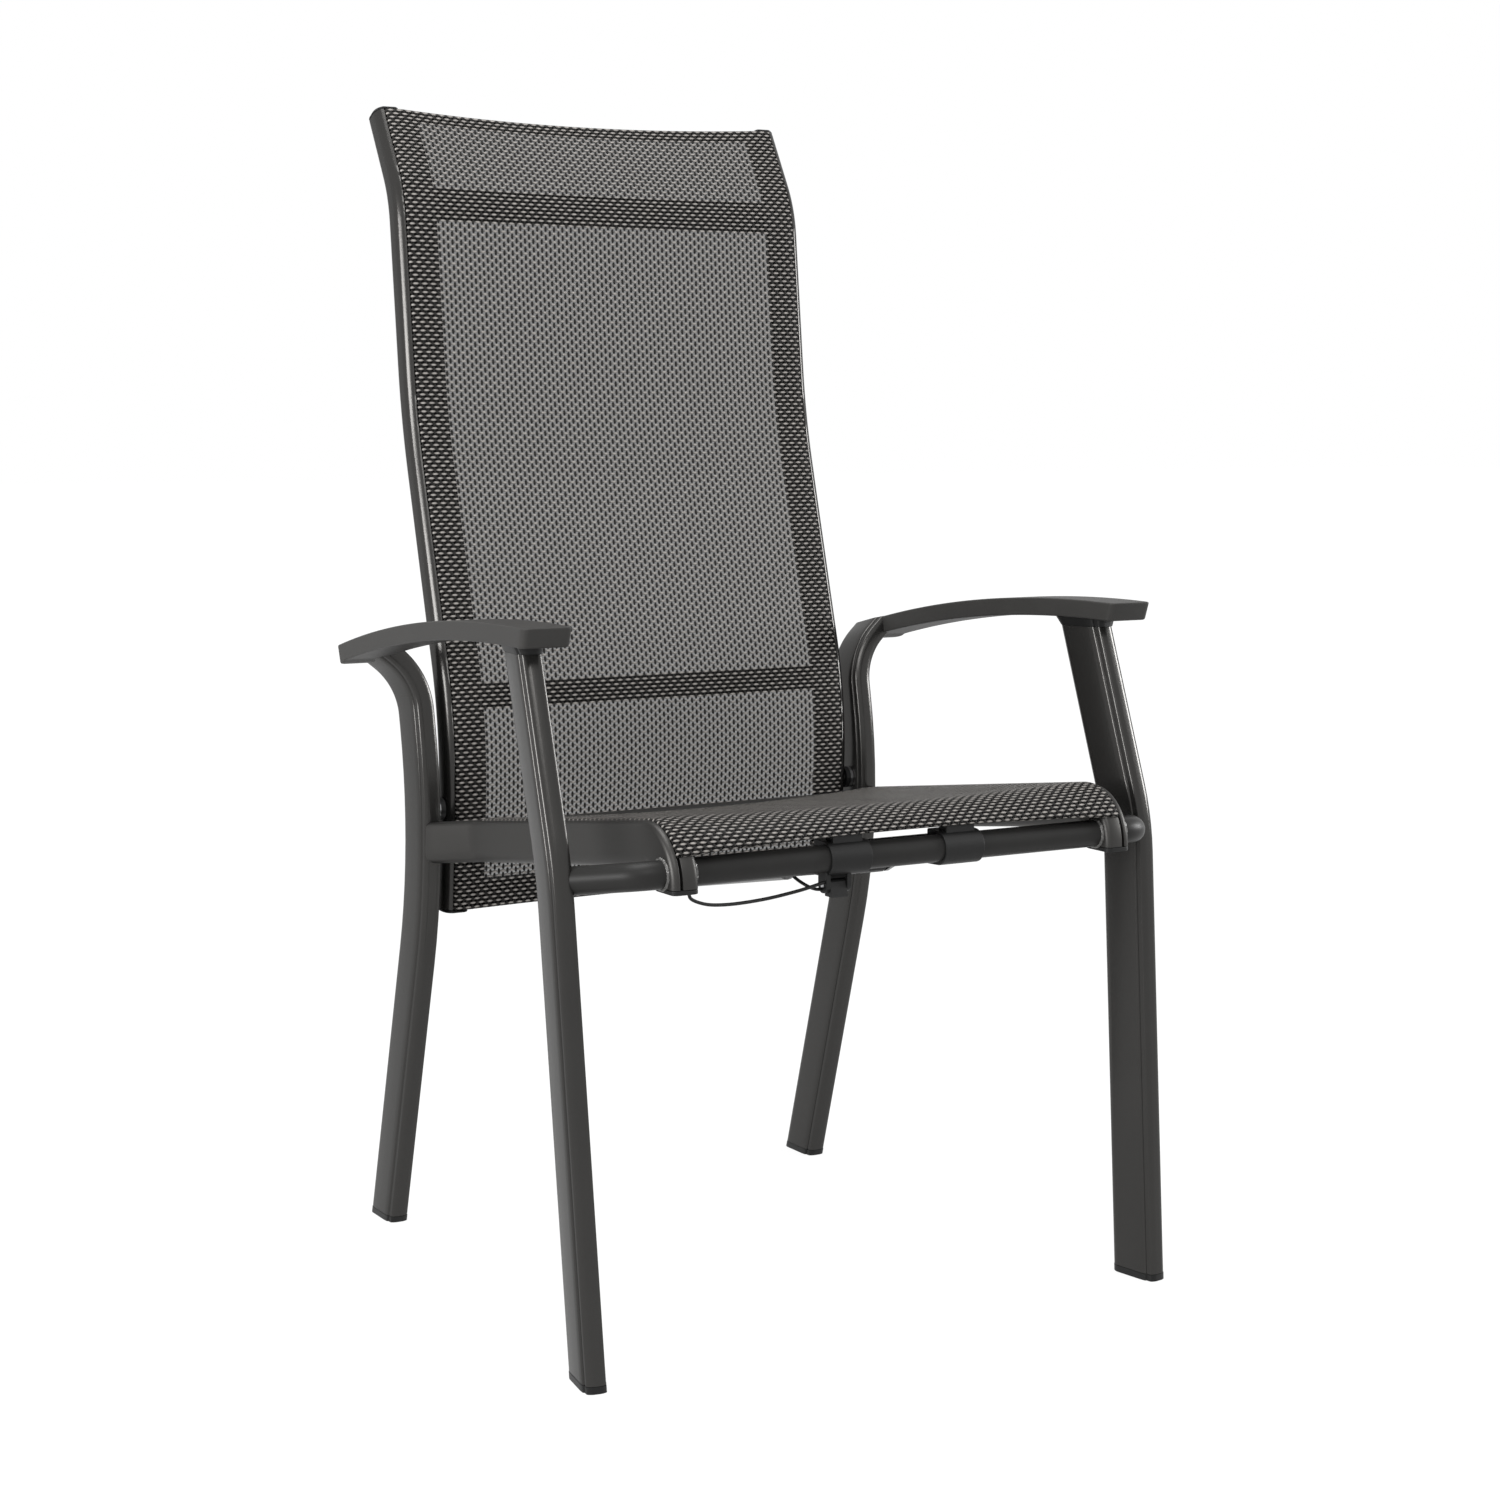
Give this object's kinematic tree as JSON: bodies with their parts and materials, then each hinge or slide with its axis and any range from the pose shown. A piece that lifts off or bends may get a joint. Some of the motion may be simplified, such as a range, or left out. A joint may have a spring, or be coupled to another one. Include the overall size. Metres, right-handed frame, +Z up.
{
  "type": "sling patio chair",
  "caption": "High-back sling patio chair with arched armrests; the back reclines against a lockable gas spring that a lever under the front bar releases.",
  "frame": {"origin": "on the floor, under the middle of the whole chair's outline", "axes": "+Z up, the seat opens to -Y, +X to the side without the release lever"},
  "size_m": [0.642, 0.631, 1.0954],
  "materials": {
    "frame": "satin metallic anthracite coating on aluminium tube",
    "armrest": "matte anthracite coating",
    "plastic": "black moulded",
    "steel": "zinc plated",
    "black_steel": "black coated steel",
    "mesh": "open basket weave of taupe and black coated yarn"
  },
  "bodies": {
    "frame": {"front_leg_right": "frame", "front_leg_left": "frame", "front_foot_cap_right": "plastic", "front_foot_cap_left": "plastic", "rear_leg_right": "frame", "rear_leg_left": "frame", "rear_foot_cap_right": "plastic", "rear_foot_cap_left": "plastic", "armrest_right": "armrest", "armrest_left": "armrest", "armrest_collar_right": "plastic", "armrest_collar_left": "plastic", "seat_rail_right": "frame", "seat_rail_left": "frame", "seat_rail_cap_right": "plastic", "seat_rail_cap_left": "plastic", "seat_front_bar": "frame", "leg_link_right": "frame", "leg_link_left": "frame", "seat_rear_bar": "frame", "seat_sling": "mesh", "pivot_stud_right": "steel", "pivot_stud_left": "steel", "pivot_spacer_right": "plastic", "pivot_spacer_left": "plastic", "pivot_nut_right": "steel", "pivot_nut_left": "steel", "bar_clamp_right": "plastic", "bar_clamp_left": "plastic", "release_lever_pin": "steel", "spring_yoke": "black_steel", "spring_front_pin": "steel", "release_cable_rail": "plastic", "release_cable_spring": "plastic"},
    "back": {"back_tube_right": "frame", "back_tube_left": "frame", "back_top_cap_right": "plastic", "back_top_cap_left": "plastic", "back_foot_cap_right": "plastic", "back_foot_cap_left": "plastic", "headrest_bar": "frame", "lumbar_bar": "frame", "back_bottom_bar": "frame", "back_sling": "mesh", "spring_rear_bracket": "black_steel", "spring_rear_pin": "steel"},
    "spring_front": {"spring_release_head": "plastic", "spring_rod": "steel"},
    "spring_rear": {"spring_cylinder": "black_steel"},
    "lever": {"release_lever": "plastic"}
  },
  "joints": [
    {"name": "back_recline", "type": "hinge", "parent": "frame", "child": "back", "pos_m": [0, 0.15752, 0.424], "axis": [-1, 0, 0], "range_deg": [0, 25]},
    {"name": "spring_swing", "type": "hinge", "parent": "frame", "child": "spring_front", "pos_m": [0, -0.24746, 0.412], "axis": [1, 0, 0], "range_deg": [0, 1.5]},
    {"name": "spring_compress", "type": "slide", "parent": "spring_front", "child": "spring_rear", "axis": [0, -0.9829, 0.1843], "range_m": [0, 0.037]},
    {"name": "release_lever_pull", "type": "hinge", "parent": "frame", "child": "lever", "pos_m": [-0.0665, -0.29596, 0.405], "axis": [-1, 0, 0], "range_deg": [0, 20], "stiffness_Nm_per_rad": 0.2}
  ],
  "couplings": [
    {"joint": "spring_swing", "follows": "back_recline", "ratio": 0.057},
    {"joint": "spring_compress", "follows": "back_recline", "m_per_rad": 0.0836}
  ]
}
